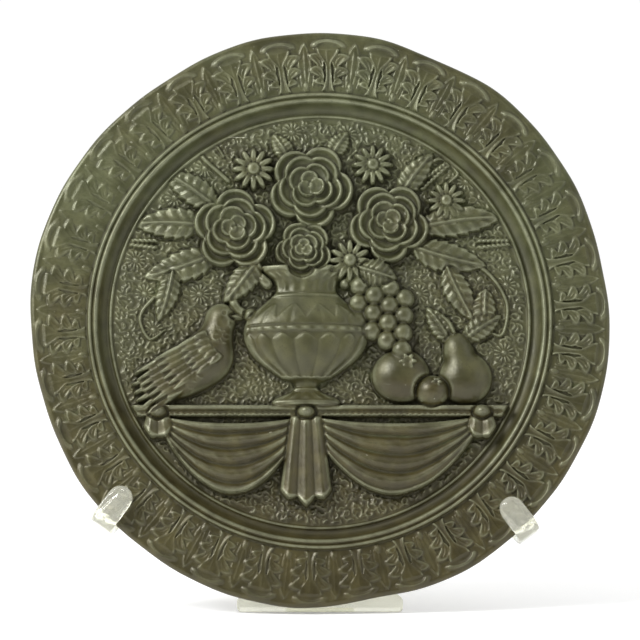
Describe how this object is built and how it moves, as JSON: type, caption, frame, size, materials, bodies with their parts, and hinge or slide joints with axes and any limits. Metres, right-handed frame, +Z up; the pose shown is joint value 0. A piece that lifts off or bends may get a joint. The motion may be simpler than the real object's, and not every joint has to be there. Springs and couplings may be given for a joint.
{
  "type": "relief plaque on easel",
  "caption": "Round cast-bronze relief plaque with an acanthus border and a still-life medallion, leaning back on a clear acrylic easel.",
  "frame": {"origin": "middle of the underside of the easel's front foot, on the surface it stands on", "axes": "+Z up; the plaque's face looks along -Y and leans back 15 degrees; +X to the viewer's right"},
  "size_m": [0.2512, 0.1018, 0.2485],
  "materials": {
    "bronze": "dark olive-green and brown patina on cast bronze, satin, worn to grey-brown on the high parts",
    "acrylic": "clear polished acrylic sheet"
  },
  "bodies": {
    "root": {"plaque": "bronze", "easel": "acrylic"}
  },
  "joints": []
}
